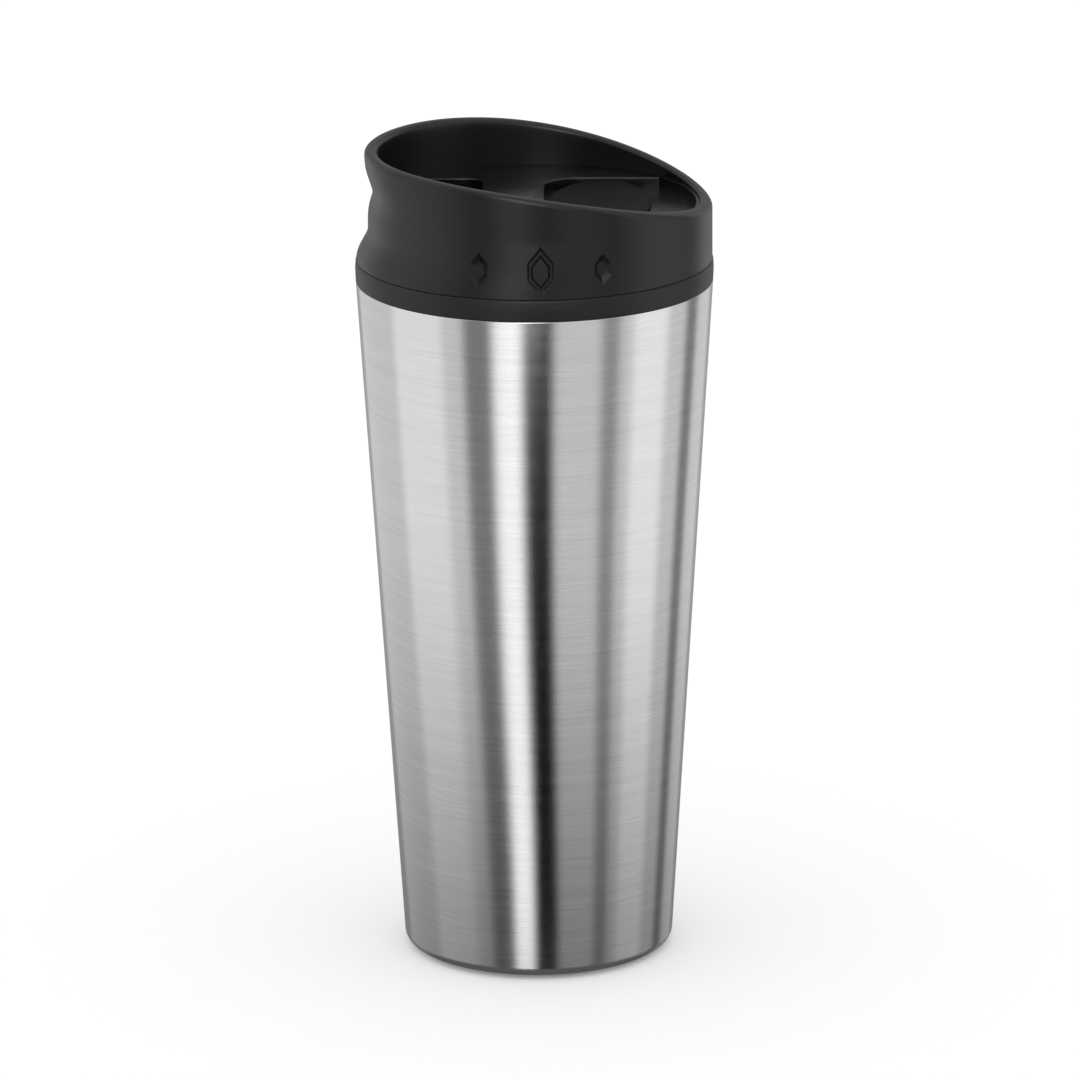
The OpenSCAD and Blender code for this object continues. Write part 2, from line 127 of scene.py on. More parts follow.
class Finish:
    """One material and the way to add nodes to it."""

    def __init__(self, name, **constants):
        self.material = bpy.data.materials.new(name)
        self.material.use_nodes = True
        self.tree = self.material.node_tree
        self.shader = self.tree.nodes["Principled BSDF"]
        for socket, value in constants.items():
            self.shader.inputs[socket.replace("_", " ")].default_value = value

    def node(self, kind, settings=None, inputs=None, output=0):
        """Adds a node of a kind, its settings first, then its values and links."""
        made = self.tree.nodes.new("ShaderNode" + kind)
        for name, value in (settings or {}).items():
            if name == "stops":
                set_stops(made.color_ramp, value)
            else:
                setattr(made, name, value)
        for key, value in (inputs or {}).items():
            self.feed(made.inputs[key], value)
        return Wire(self, made.outputs[output])

    def feed(self, socket, value):
        """Links a wire to a socket, or sets a plain value on it."""
        if isinstance(value, Wire):
            self.tree.links.new(value.socket, socket)
        else:
            socket.default_value = value

    def shade(self, **inputs):
        """Feeds the shader's own sockets with what changes over the surface."""
        for name, value in inputs.items():
            self.feed(self.shader.inputs[name.replace("_", " ")], value)
        return self.material


def grey(value):
    return (value, value, value, 1)


def set_stops(ramp, stops):
    """Puts a ramp's colour stops at their places."""
    while len(ramp.elements) < len(stops):
        ramp.elements.new(1)
    for element, (place, colour) in zip(ramp.elements, stops):
        element.position = place
        element.color = colour


# %% [markdown]
# ## Patterns on the object's own axes
# Every pattern reads Object coordinates. They are in metres and stay with the part when it
# moves, and they have no seam. A Mapping node turns them into grain of the wanted size.


# %% Pattern helpers
def grain(finish, size_mm, detail=2.0, roughness=0.5):
    """Noise whose grains are size_mm along X, Y and Z."""
    place = finish.node("TexCoord", output="Object")
    scale = tuple(1 / (s * MM) for s in size_mm)
    mapped = finish.node("Mapping", inputs={"Vector": place, "Scale": scale})
    noise = {"Vector": mapped, "Scale": 1.0, "Detail": detail, "Roughness": roughness}
    return finish.node("TexNoise", inputs=noise)


def ramped(finish, value, *stops):
    """A value sent through a ramp of (place, grey value) stops."""
    settings = {"stops": [(place, grey(tone)) for place, tone in stops]}
    return finish.node("ValToRGB", settings, {"Fac": value})


def blend(finish, share, first, second):
    """A colour between two, by a share from 0 to 1."""
    settings = {"data_type": "RGBA"}
    return finish.node("Mix", settings, {0: share, 6: first, 7: second}, output=2)


def bump(finish, height, depth_mm, strength=1.0):
    """A Bump node for a height pattern that is depth_mm deep."""
    values = {"Height": height, "Distance": depth_mm * MM, "Strength": strength}
    return finish.node("Bump", inputs=values)


# %% [markdown]
# ## Brushed steel
# The shell is brushed round and round, so its surface is thousands of hairline scratches that
# lie level. Such a surface spreads a highlight up and down but hardly sideways, which is why
# the room shows as upright bands. Anisotropy makes that spread. The scratches themselves are
# noise that is stretched round the mug and very thin in height, and it feeds the roughness,
# the colour and a faint bump.


# %% Steel finishes
def brushed_steel():
    steel = Finish("brushed_steel", Metallic=1.0, Anisotropic=0.85, Anisotropic_Rotation=0.25)
    hairline = grain(steel, (14, 14, 0.16), detail=4.0, roughness=0.65)
    band = grain(steel, (60, 60, 1.6), detail=2.0)
    speck = grain(steel, (0.5, 0.5, 0.12), detail=1.0)
    streak = hairline * 0.6 + band * 0.25 + speck * 0.15
    shaded = ramped(steel, streak, (0.32, 0.0), (0.68, 1.0))
    colour = blend(steel, shaded, (0.62, 0.612, 0.608, 1), (0.76, 0.752, 0.747, 1))
    return steel.shade(
        Base_Color=colour,
        Roughness=0.10 + streak * 0.12,
        Normal=bump(steel, streak, 0.02, 0.9),
    )


def satin_liner():
    steel = Finish("liner_steel", Metallic=1.0)
    turned = grain(steel, (20, 20, 0.35), detail=3.0)
    colour = blend(steel, turned, (0.50, 0.495, 0.49, 1), (0.66, 0.65, 0.64, 1))
    return steel.shade(
        Base_Color=colour,
        Roughness=0.26 + turned * 0.14,
        Normal=bump(steel, turned, 0.01, 0.5),
    )


def bright_steel():
    steel = Finish("small_steel", Metallic=1.0)
    drawn = grain(steel, (0.4, 0.4, 0.4), detail=3.0)
    colour = blend(steel, drawn, (0.55, 0.55, 0.56, 1), (0.72, 0.72, 0.72, 1))
    return steel.shade(
        Base_Color=colour,
        Roughness=0.16 + drawn * 0.16,
        Normal=bump(steel, drawn, 0.01, 0.4),
    )


# %% [markdown]
# ## Black plastics, rubber and silicone
# The lid's mouldings are black with a fine spark-eroded grain, the collar is a duller and
# slightly warmer black, and the deck is smoother. One function makes them all from a colour, a
# roughness and the size and depth of the grain. Its slow second noise stands for handling
# marks, which change the gloss a little from place to place.


# %% Moulded finishes
HANDLING_MARKS = 0.08
GRAIN_GLOSS = 0.06


def moulded(name, dark, light, rough, grain_mm, grain_depth, gloss=0.5, sheen=0.0):
    plastic = Finish(name, Specular_IOR_Level=gloss, Sheen_Weight=sheen)
    texture = grain(plastic, (grain_mm,) * 3, detail=3.0, roughness=0.6)
    marks = grain(plastic, (17, 17, 12), detail=3.0)
    colour = blend(plastic, marks * 0.6 + texture * 0.4, dark + (1,), light + (1,))
    return plastic.shade(
        Base_Color=colour,
        Roughness=rough + (marks - 0.5) * HANDLING_MARKS + (texture - 0.5) * GRAIN_GLOSS,
        Normal=bump(plastic, texture, grain_depth, 0.7),
    )


def foam_finish():
    foam = Finish("foam", Roughness=0.95)
    place = foam.node("TexCoord", output="Object")
    cells = foam.node("TexVoronoi", {"feature": "F1"}, {"Vector": place, "Scale": 900.0})
    colour = blend(foam, cells, (0.78, 0.74, 0.62, 1), (0.62, 0.57, 0.44, 1))
    return foam.shade(Base_Color=colour, Normal=bump(foam, cells, 0.2, 0.8))


FINISHES = {
    "brushed_steel": brushed_steel(),
    "liner_steel": satin_liner(),
    "small_steel": bright_steel(),
    "lid_plastic": moulded("lid_plastic", (0.0025, 0.0026, 0.003), (0.0045, 0.0045, 0.005),
                           rough=0.33, grain_mm=0.35, grain_depth=0.02, gloss=0.38),
    "deck_plastic": moulded("deck_plastic", (0.003, 0.003, 0.0035), (0.006, 0.006, 0.0065),
                            rough=0.24, grain_mm=0.30, grain_depth=0.01, gloss=0.42),
    "pad_plastic": moulded("pad_plastic", (0.0035, 0.0035, 0.004), (0.006, 0.006, 0.0065),
                           rough=0.46, grain_mm=0.28, grain_depth=0.02, gloss=0.05),
    "inner_plastic": moulded("inner_plastic", (0.014, 0.014, 0.015), (0.024, 0.024, 0.025),
                             rough=0.38, grain_mm=0.5, grain_depth=0.02),
    "collar_plastic": moulded("collar_plastic", (0.007, 0.006, 0.0056), (0.011, 0.0096, 0.009),
                              rough=0.42, grain_mm=0.3, grain_depth=0.02, gloss=0.33),
    "silicone": moulded("silicone", (0.08, 0.08, 0.082), (0.12, 0.12, 0.122),
                        rough=0.58, grain_mm=0.8, grain_depth=0.03, sheen=0.3),
    "foot_rubber": moulded("foot_rubber", (0.018, 0.018, 0.018), (0.032, 0.031, 0.030),
                           rough=0.72, grain_mm=0.45, grain_depth=0.05, sheen=0.2),
    "foam": foam_finish(),
}
print("finishes:", ", ".join(FINISHES))

# %% [markdown]
# ## Carried CAD parts
# The parts that hide inside, or whose CAD shape is already right, keep their CAD mesh and only
# get a finish. The record names the material slot of each part, so the finish follows it.

# %% Give each CAD node its finish
SLOT_OF = {part["node"]: part["material_slot"] for part in frame["record"]["subparts"]}
for node_name, node in frame["nodes"].items():
    for slot in node.material_slots:
        slot.material = FINISHES[SLOT_OF[node_name]]
print("carried parts with a finish:", len(SLOT_OF))

# %% [markdown]
# ## Tools for turned parts
# A mug is mostly turned shapes, so most new parts start as an outline of a few corners. Each
# corner may be rounded by a vertex bevel before the outline is spun a full turn. Shapes are
# drawn in millimetres and scaled to metres when they become objects.

# %% Outline, lathe and object helpers
STEPS_ROUND = 192
SHARP = math.radians(32)
SAME_POINT = 0.001
NO_AREA = 1e-7
SMALL_ROUND = 0.6


def span(node_name):
    """Lowest and highest corner of a CAD node, in millimetres."""
    return [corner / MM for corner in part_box(node_name)]


def outline(bm, corners, closed=True):
    """A wire in the XZ plane from (r, z) or (r, z, rounding) corners."""
    made = [bm.verts.new((corner[0], 0, corner[1])) for corner in corners]
    for first, second in zip(made, made[1:]):
        bm.edges.new((first, second))
    if closed:
        bm.edges.new((made[-1], made[0]))
    rounded = [(vert, corner[2]) for vert, corner in zip(made, corners) if len(corner) > 2]
    for vert, rounding in rounded:
        segments = 3 if rounding < SMALL_ROUND else 6
        bmesh.ops.bevel(bm, geom=[vert], offset=rounding, offset_type="OFFSET", segments=segments,
                        profile=0.5, affect="VERTICES", material=-1)


def spin_round(bm, steps=STEPS_ROUND):
    bmesh.ops.spin(bm, geom=bm.verts[:] + bm.edges[:], cent=(0, 0, 0), axis=(0, 0, 1),
                   angle=2 * math.pi, steps=steps, use_merge=True, use_duplicate=False)


def lathe(corners, steps=STEPS_ROUND):
    """A closed turned shape. Corners on the axis meet in one point."""
    bm = bmesh.new()
    outline(bm, corners)
    spin_round(bm, steps)
    bmesh.ops.remove_doubles(bm, verts=bm.verts, dist=SAME_POINT)
    inner = [face for face in bm.faces if face.calc_area() < NO_AREA]
    bmesh.ops.delete(bm, geom=inner, context="FACES")
    bmesh.ops.delete(bm, geom=[edge for edge in bm.edges if edge.is_wire], context="EDGES")
    return bm


def add_piece(bm, name, body, slot, *stands_for, sharp=SHARP):
    """Makes a millimetre mesh an object in metres, with its finish, body and CAD nodes."""
    bmesh.ops.remove_doubles(bm, verts=bm.verts, dist=SAME_POINT)
    bmesh.ops.recalc_face_normals(bm, faces=bm.faces)
    bmesh.ops.scale(bm, vec=(MM, MM, MM), verts=bm.verts)
    mesh = bpy.data.meshes.new(name)
    bm.to_mesh(mesh)
    bm.free()
    mesh.shade_smooth()
    mesh.set_sharp_from_angle(angle=sharp)
    mesh.materials.append(FINISHES[slot])
    piece = bpy.data.objects.new(name, mesh)
    scene.collection.objects.link(piece)
    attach(piece, body)
    if stands_for:
        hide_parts(*stands_for)
    print(name, len(mesh.polygons), "faces")
    return piece


# %% [markdown]
# ## The steel body
# The shell is one drawn steel cup: a straight taper, a small radius into the base, and a
# flange that turns in under it. Spinning its closed outline gives both sides of the sheet at
# once, with the true thickness. The top edge is slightly rounded, as a trimmed edge is.

# %% Steel body
STEEL_T = 0.5
BASE_FLANGE = 4
CORNER_R = 2.5
shell_low, shell_high = span("outer_shell")
TOP_R = shell_high.x
BODY_TOP = shell_high.z
BASE_R = 32.3
FLANGE_R = BASE_R - CORNER_R - BASE_FLANGE
base_z = shell_low.z


def shell_r(z):
    """Outer radius of the steel taper at height z."""
    return BASE_R + (TOP_R - BASE_R) * z / BODY_TOP


steel = lathe([
    (FLANGE_R, base_z), (shell_r(base_z), base_z, CORNER_R), (TOP_R, BODY_TOP, 0.15),
    (TOP_R - STEEL_T, BODY_TOP, 0.15),
    (shell_r(base_z) - STEEL_T, base_z + STEEL_T, CORNER_R - STEEL_T), (FLANGE_R, base_z + STEEL_T),
], steps=256)
add_piece(steel, "steel_body", "mug", "brushed_steel", "outer_shell")

# %% [markdown]
# ## The foot
# A soft rubber disc is glued under the base and stands a little proud of the steel. Fine rings
# in its bearing face keep the mug from sliding.

# %% Foot pad
foot_low, foot_high = span("foot_pad")
foot_r = foot_high.x
dish_r = foot_r - 6
DISH = 0.5
RING_DEPTH = 0.25
RING_INSETS = (1.6, 2.8, 4.0)
ring_corners = []
for inset in RING_INSETS:
    ring_r = foot_r - inset
    ring_corners += [(ring_r, 0, 0.08), (ring_r - 0.25, RING_DEPTH), (ring_r - 0.55, 0, 0.08)]
foot = lathe([(0, foot_high.z), (foot_r, foot_high.z), (foot_r, 0, 0.35)] + ring_corners
             + [(dish_r, 0, 0.2), (dish_r - DISH, DISH, 0.2), (0, DISH)], steps=128)
add_piece(foot, "foot_pad_ringed", "mug", "foot_rubber", "foot_pad")

# %% [markdown]
# ## The collar
# The collar is the narrow black ring between steel and lid. It hides the steel's raw edge,
# centres the liner, and carries the female thread and the gasket's ledge. The outline is spun,
# and each thread start is a small trapezoid spun part of a turn while it climbs.

# %% Collar
collar_low, collar_high = span("collar_ring")
gasket_low, gasket_high = span("lid_gasket")
COLLAR_TOP = collar_high.z
SLEEVE_R = 39.6
SLEEVE_T = 1.6
LEDGE_R = 35.2
RIB_R = 41.6
RIB_T = 1.0
RIB_H = 3.0
MOUTH_R = SLEEVE_R - SLEEVE_T
THREAD_H = 0.9
THREAD_LEAD = 12
THREAD_TURN = math.radians(150)
THREAD_RISE = 7.6
BULGE_R = collar_high.x


def add_thread(bm, wall_r, tip_r, z, starts=3, steps=48):
    """Ridges on a wall: trapezoids that climb as they are spun."""
    sink = 0.2 if tip_r < wall_r else -0.2
    for start in range(starts):
        turn = Matrix.Rotation(2 * math.pi * start / starts, 3, "Z")
        corners = [(wall_r + sink, -0.8), (tip_r, -0.35), (tip_r, 0.35), (wall_r + sink, 0.8)]
        made = [bm.verts.new(turn @ Vector((r, 0, z + dz))) for r, dz in corners]
        rim = [bm.edges.new((made[i], made[(i + 1) % 4])) for i in range(4)]
        climb = THREAD_LEAD * THREAD_TURN / (2 * math.pi) / steps
        grown = bmesh.ops.spin(bm, geom=made + rim, cent=(0, 0, 0), axis=(0, 0, 1),
                               dvec=(0, 0, climb), angle=THREAD_TURN, steps=steps)
        last = [edge for edge in grown["geom_last"] if isinstance(edge, bmesh.types.BMEdge)]
        bmesh.ops.holes_fill(bm, edges=rim, sides=4)
        bmesh.ops.holes_fill(bm, edges=last, sides=4)


collar = lathe([
    (LEDGE_R, collar_low.z), (SLEEVE_R, collar_low.z, 0.3), (SLEEVE_R, BODY_TOP),
    (RIB_R - RIB_T, BODY_TOP), (RIB_R - RIB_T, BODY_TOP - RIB_H),
    (RIB_R, BODY_TOP - RIB_H), (RIB_R, BODY_TOP),
    (TOP_R - 0.05, BODY_TOP, 0.1), (BULGE_R, BODY_TOP + 1.9, 1.2), (BULGE_R, BODY_TOP + 3.2, 1.2),
    (TOP_R - 0.05, COLLAR_TOP, 0.35), (MOUTH_R, COLLAR_TOP, 0.8), (MOUTH_R, gasket_low.z),
    (LEDGE_R, gasket_low.z, 0.3),
], steps=256)
add_thread(collar, MOUTH_R, MOUTH_R - THREAD_H, gasket_low.z + THREAD_RISE)
add_piece(collar, "collar", "mug", "collar_plastic", "collar_ring")

# %% [markdown]
# ## The gasket
# The gasket seals the lid's skirt on the collar's ledge. Two soft lips stand on its outer side,
# so its outline has two round crests with a groove between them.

# %% Gasket
gasket_r = gasket_high.x
GASKET_IN_R = gasket_r - 0.8
gasket_mid = (gasket_low.z + gasket_high.z) / 2
gasket = lathe([
    (GASKET_IN_R, gasket_low.z, 0.15), (gasket_r, gasket_low.z, 0.3), (gasket_r, gasket_mid - 0.25, 0.2),
    (gasket_r - 0.3, gasket_mid), (gasket_r, gasket_mid + 0.25, 0.2), (gasket_r, gasket_high.z, 0.3),
    (GASKET_IN_R, gasket_high.z, 0.15),
], steps=128)
add_piece(gasket, "lid_gasket_lipped", "gasket", "silicone", "lid_gasket")

# %% [markdown]
# ## The lid's wall
# This is the shape that gives the mug its character, and no lathe makes it: the wall leans in
# over its lower half, the lip side has a thumb's-width waist under a flared lip, and the rim
# falls away in a long arc towards the other side. It still starts as a spun tube, because a
# tube gives clean rings. Then each point moves to where four plain rules put it: the crest's
# arc, the wall's radius by angle and height, the bowl's radius, and the bore's.

# %% Rules for the wall
wall_low, wall_high = span("lid_shell")
deck_low, deck_high = span("lid_deck")
LID_BOTTOM = wall_low.z
RIM_TOP = wall_high.z
DECK_TOP = deck_high.z
LID_R = TOP_R - 0.2
RIM_T = 3.2
RIM_ROUND = 1.1
LID_SHIFT = 1.1
UPPER_R = LID_R - LID_SHIFT
BOWL_R = UPPER_R - RIM_T
BORE_R = deck_high.x + 0.05
SLANT_R = 250
SLANT_X = 38
FOOT_FLARE_H = 7.5
LIP_R = 39.45
LIP_FLARE = 0.7
NOTCH_Z = COLLAR_TOP + 16.8
NOTCH_DEPTH = 1.5
NOTCH_WIDTH = math.radians(26)
NOTCH_BELOW = 2.3
NOTCH_ABOVE = 3.1
FLARE_Z = 182
FLARE_H = 12


def crest(x):
    """Height of the slanted rim above a point at x."""
    return RIM_TOP - SLANT_R + math.sqrt(SLANT_R ** 2 - (x + SLANT_X) ** 2)


def ease(t):
    """A soft step from 0 to 1."""
    t = min(1, max(0, t))
    return t * t * (3 - 2 * t)


def soft_ramp(t, knee=0.06):
    """Climbs to 1 and stays there, with a short round knee."""
    return 1 - (math.sqrt((1 - t) ** 2 + knee ** 2) + (1 - t)) / 2


def wall_radius(angle, z):
    """Outer radius of the lid's wall: low side, front and back, and lip side, blended."""
    c = math.cos(angle)
    front = LID_R - LID_SHIFT * soft_ramp((z - LID_BOTTOM) / (DECK_TOP - LID_BOTTOM))
    lip = LIP_R + (LID_R - LIP_R) * (1 - ease((z - LID_BOTTOM) / FOOT_FLARE_H))
    lip += LIP_FLARE * ease((z - FLARE_Z) / FLARE_H)
    from_lip = abs(math.pi - angle % (2 * math.pi))
    width = NOTCH_BELOW if z < NOTCH_Z else NOTCH_ABOVE
    notch = NOTCH_DEPTH * math.exp(-((from_lip / NOTCH_WIDTH) ** 2) - ((z - NOTCH_Z) / width) ** 2 / 2)
    return LID_R * c * (c + 1) / 2 + front * (1 - c * c) + lip * c * (c - 1) / 2 - notch


def bowl_radius(angle):
    """Distance from the mug's axis to the bowl's wall, whose own axis is shifted."""
    side = LID_SHIFT * math.sin(angle)
    return LID_SHIFT * math.cos(angle) + math.sqrt(BOWL_R ** 2 - side ** 2)


print("rim height: lip side", round(crest(-SLANT_X), 1), "low side", round(crest(UPPER_R), 1))

# %% Spin the tube and place its points
TUBE_R = 10
TUBE_H = 26
TUBE_DECK = 12
BORE_COLUMN = TUBE_R - 1
WALL_COLUMN = TUBE_R + RIM_T


def place_wall_point(co):
    """Moves a point of the plain tube to its place on the lid's wall."""
    angle = math.atan2(co.y, co.x)
    column = math.hypot(co.x, co.y)
    direction = Vector((math.cos(angle), math.sin(angle), 0))
    if column < TUBE_R - 0.5:
        share = (co.z + TUBE_H) / (TUBE_H - TUBE_DECK)
        return direction * BORE_R + Vector((0, 0, LID_BOTTOM + share * (DECK_TOP - LID_BOTTOM)))
    inwards = (WALL_COLUMN - column) / RIM_T
    reach = (1 - inwards) * LID_R + inwards * bowl_radius(angle)
    rim_z = crest(reach * math.cos(angle))
    floor_z, floor_at = (LID_BOTTOM, TUBE_H) if inwards < 0.5 else (DECK_TOP, TUBE_DECK)
    below = max(0, -co.z - RIM_ROUND) / (floor_at - RIM_ROUND)
    z = rim_z - min(-co.z, RIM_ROUND)
    z += below * (floor_z - z)
    reach = (1 - inwards) * wall_radius(angle, z) + inwards * bowl_radius(angle)
    return direction * reach + Vector((0, 0, z))


wall = bmesh.new()
outline(wall, [
    (WALL_COLUMN, -TUBE_H), (WALL_COLUMN, 0, RIM_ROUND), (TUBE_R, 0, RIM_ROUND), (TUBE_R, -TUBE_DECK),
    (BORE_COLUMN, -TUBE_DECK), (BORE_COLUMN, -TUBE_H),
])
long_sides = [edge for edge in wall.edges if edge.calc_length() > 8]
outer_side = [edge for edge in long_sides if edge.verts[0].co.x > WALL_COLUMN - 0.1]
bmesh.ops.subdivide_edges(wall, edges=outer_side, cuts=47)
bmesh.ops.subdivide_edges(wall, edges=[e for e in long_sides if e not in outer_side], cuts=7)
spin_round(wall, steps=320)
for vert in wall.verts:
    vert.co = place_wall_point(vert.co)
print("wall points placed:", len(wall.verts))

# %% [markdown]
# ### Grip dimples
# Three shallow dimples sit on the front of the wall and three on the back. The middle one is a
# long hexagon with a raised lozenge in it. A cutter for each is a stack of hexagons that are
# bridged into sloping sides, and a Boolean takes it out of the wall.

# %% Cut the dimples
DIMPLE_Z = COLLAR_TOP + 6.6
DIMPLE_TURN = math.radians(20.3)
FRONT_FACE = math.radians(-88)
LOZENGE = (4.4, 8.2, 2.7)
LOZENGE_SINK = 0.15
LEAN_SPAN = 4


def hexagon(bm, width, height, flat, depth):
    """A pointed hexagon at a depth, in the plane across +X."""
    corners = [(0, -height), (width, -flat), (width, flat), (0, height), (-width, flat), (-width, -flat)]
    made = [bm.verts.new((depth, y / 2, z / 2)) for y, z in corners]
    edges = [bm.edges.new((made[i], made[(i + 1) % 6])) for i in range(6)]
    return made, edges


def dimple_cutter(angle, width, height, flat, depth, slope, lozenge=None):
    """A hexagon with sloping sides, and with a pit that leaves a raised lozenge."""
    bm = bmesh.new()
    rings = [hexagon(bm, width + 2.4, height + 3, flat + 0.8, 1.2), hexagon(bm, width, height, flat, 0),
             hexagon(bm, width - slope, height - 1.6 * slope, flat - slope / 4, -depth)]
    if lozenge:
        wide, tall, straight = lozenge
        rings += [hexagon(bm, wide, tall, straight, -depth),
                  hexagon(bm, wide - 0.9, tall - 1.5, straight - 0.3, -LOZENGE_SINK)]
    for (_, outer), (_, inner) in zip(rings, rings[1:]):
        bmesh.ops.bridge_loops(bm, edges=outer + inner)
    for verts, _ in (rings[0], rings[-1]):
        bmesh.ops.contextual_create(bm, geom=verts)
    surface = wall_radius(angle, DIMPLE_Z)
    inwards = wall_radius(angle, DIMPLE_Z - LEAN_SPAN) - wall_radius(angle, DIMPLE_Z + LEAN_SPAN)
    lean = math.atan2(inwards, 2 * LEAN_SPAN)
    place = (Matrix.Rotation(angle, 4, "Z") @ Matrix.Translation((surface, 0, DIMPLE_Z))
             @ Matrix.Rotation(-lean, 4, "Y"))
    bmesh.ops.transform(bm, matrix=place, verts=bm.verts)
    bmesh.ops.recalc_face_normals(bm, faces=bm.faces)
    return bm


def cut(piece, cutter):
    """Takes one closed millimetre mesh out of a finished piece."""
    bmesh.ops.scale(cutter, vec=(MM, MM, MM), verts=cutter.verts)
    mesh = bpy.data.meshes.new("cutter")
    cutter.to_mesh(mesh)
    cutter.free()
    tool = bpy.data.objects.new("cutter", mesh)
    scene.collection.objects.link(tool)
    step = piece.modifiers.new("cut", "BOOLEAN")
    step.operation = "DIFFERENCE"
    step.solver = "EXACT"
    step.object = tool
    shaped = bpy.data.meshes.new_from_object(piece.evaluated_get(bpy.context.evaluated_depsgraph_get()))
    piece.modifiers.remove(step)
    piece.data = shaped
    bpy.data.objects.remove(tool)


lid_wall = add_piece(wall, "lid_wall", "lid", "lid_plastic", "lid_shell")
for face in (FRONT_FACE, -FRONT_FACE):
    cut(lid_wall, dimple_cutter(face, 6.9, 12.2, 4.2, 0.75, 1.6, lozenge=LOZENGE))
    for side in (-1, 1):
        cut(lid_wall, dimple_cutter(face + side * DIMPLE_TURN, 4.4, 7.6, 2.8, 1.1, 2.4))
lid_wall.data.set_sharp_from_angle(angle=SHARP)
print("lid wall", len(lid_wall.data.polygons), "faces after the dimples")

# %% [markdown]
# ## The deck
# The deck is the floor of the bowl, with the drink opening on the lip side and the recess for
# the thumb pad on the low side. Its CAD shape is right, but its edges are sharp, and a moulding
# never has those. So a copy of the CAD mesh is merged, flat areas are dissolved into single
# faces, and the edges that show get a small bevel.


# %% Deck with softened edges
LEAST_SHARP = math.radians(28)
FLAT = math.radians(0.8)
MERGE = 0.003
DECK_ROUND = 0.3


def soft_copy(node_name, radius, above):
    """A merged copy of a CAD mesh with its sharp edges above a height rounded."""
    bm = bmesh.new()
    bm.from_mesh(frame["nodes"][node_name].data)
    bmesh.ops.scale(bm, vec=(1 / MM, 1 / MM, 1 / MM), verts=bm.verts)
    bmesh.ops.remove_doubles(bm, verts=bm.verts, dist=MERGE)
    bmesh.ops.dissolve_limit(bm, angle_limit=FLAT, verts=bm.verts, edges=bm.edges)
    sharp = [edge for edge in bm.edges if edge.is_manifold
             and edge.calc_face_angle(0) > LEAST_SHARP
             and min(vert.co.z for vert in edge.verts) > above]
    bmesh.ops.bevel(bm, geom=sharp, offset=radius, offset_type="OFFSET", segments=3, profile=0.5,
                    affect="EDGES", material=-1, clamp_overlap=False)
    print(node_name, "edges softened:", len(sharp))
    return bm


deck = soft_copy("lid_deck", DECK_ROUND, DECK_TOP - 0.1)
add_piece(deck, "deck", "lid", "deck_plastic", "lid_deck")

# %% [markdown]
# ## The thumb pad
# The pad is an oval between two arcs, cut straight at its ends. Its outline comes from two
# spun points and its edge is rounded by a bevel. Planes then cut its top into a grid, so that
# points near the middle can sink and make the shallow dish for the thumb. Two posts join it
# to the lever below.

# %% Thumb pad
pad_low, pad_high = span("rocker_pad")
PAD_T = 1.1
PAD_ROUND = 0.45
PAD_DISH = 0.35
IN_ARC = 30.2
OUT_ARC = 38.8
POST_R = 2.2
POST_Y = 6
POST_SINK = 0.1
TOP_BAND = 0.001
DISH_R = 10.5
GRID = 1.5
post_x = span("pad_screws")[0].x + 1.6
pad = bmesh.new()
loops = []
arcs = [(IN_ARC, pad_low.x + IN_ARC, math.pi), (OUT_ARC, pad_high.x - OUT_ARC, 0)]
for arc_r, middle_x, heading in arcs:
    half = math.asin(pad_high.y / arc_r)
    start_angle = heading - half
    start_x = middle_x + arc_r * math.cos(start_angle)
    first = pad.verts.new((start_x, arc_r * math.sin(start_angle), pad_high.z))
    arc = bmesh.ops.spin(pad, geom=[first], cent=(middle_x, 0, pad_high.z), axis=(0, 0, 1),
                         angle=2 * half, steps=40)
    loops.append((first, [v for v in arc["geom_last"] if isinstance(v, bmesh.types.BMVert)][0]))
for (_, end), (start, _) in zip(loops, loops[::-1]):
    pad.edges.new((end, start))
top = bmesh.ops.contextual_create(pad, geom=pad.edges[:])["faces"][0]
if top.normal.z < 0:
    top.normal_flip()
base = bmesh.ops.extrude_face_region(pad, geom=[top], use_keep_orig=True)["geom"]
sunk = [item for item in base if isinstance(item, bmesh.types.BMVert)]
bmesh.ops.translate(pad, vec=(0, 0, -PAD_T), verts=sunk)
bmesh.ops.recalc_face_normals(pad, faces=pad.faces)
rim_edges = [edge for edge in pad.edges if min(vert.co.z for vert in edge.verts) > pad_high.z - 0.01]
bmesh.ops.bevel(pad, geom=rim_edges, offset=PAD_ROUND, offset_type="OFFSET", segments=4, profile=0.5,
                affect="EDGES", material=-1)
grid_lines = [(Vector((1, 0, 0)), pad_low.x, pad_high.x), (Vector((0, 1, 0)), -pad_high.y, pad_high.y)]
for axis, first_place, last_place in grid_lines:
    for line in range(math.ceil(first_place / GRID), math.floor(last_place / GRID) + 1):
        flat = [face for face in pad.faces if face.calc_center_median().z > pad_high.z - TOP_BAND]
        edges = {edge for face in flat for edge in face.edges}
        verts = {vert for face in flat for vert in face.verts}
        bmesh.ops.bisect_plane(pad, geom=[*flat, *edges, *verts], dist=0.001, plane_co=axis * line * GRID,
                               plane_no=axis)
dish_middle = Vector((span("pivot_pin")[0].x + 1, 0, pad_high.z))
for vert in pad.verts:
    if vert.co.z > pad_high.z - TOP_BAND:
        vert.co.z -= PAD_DISH * ease(1 - (vert.co - dish_middle).length / DISH_R)
for side in (-1, 1):
    height = pad_high.z - PAD_T + POST_SINK - pad_low.z
    middle = Matrix.Translation((post_x, side * POST_Y, pad_low.z + height / 2))
    bmesh.ops.create_cone(pad, cap_ends=True, segments=40, radius1=POST_R, radius2=POST_R,
                          depth=height, matrix=middle)
add_piece(pad, "thumb_pad", "rocker", "pad_plastic", "rocker_pad")
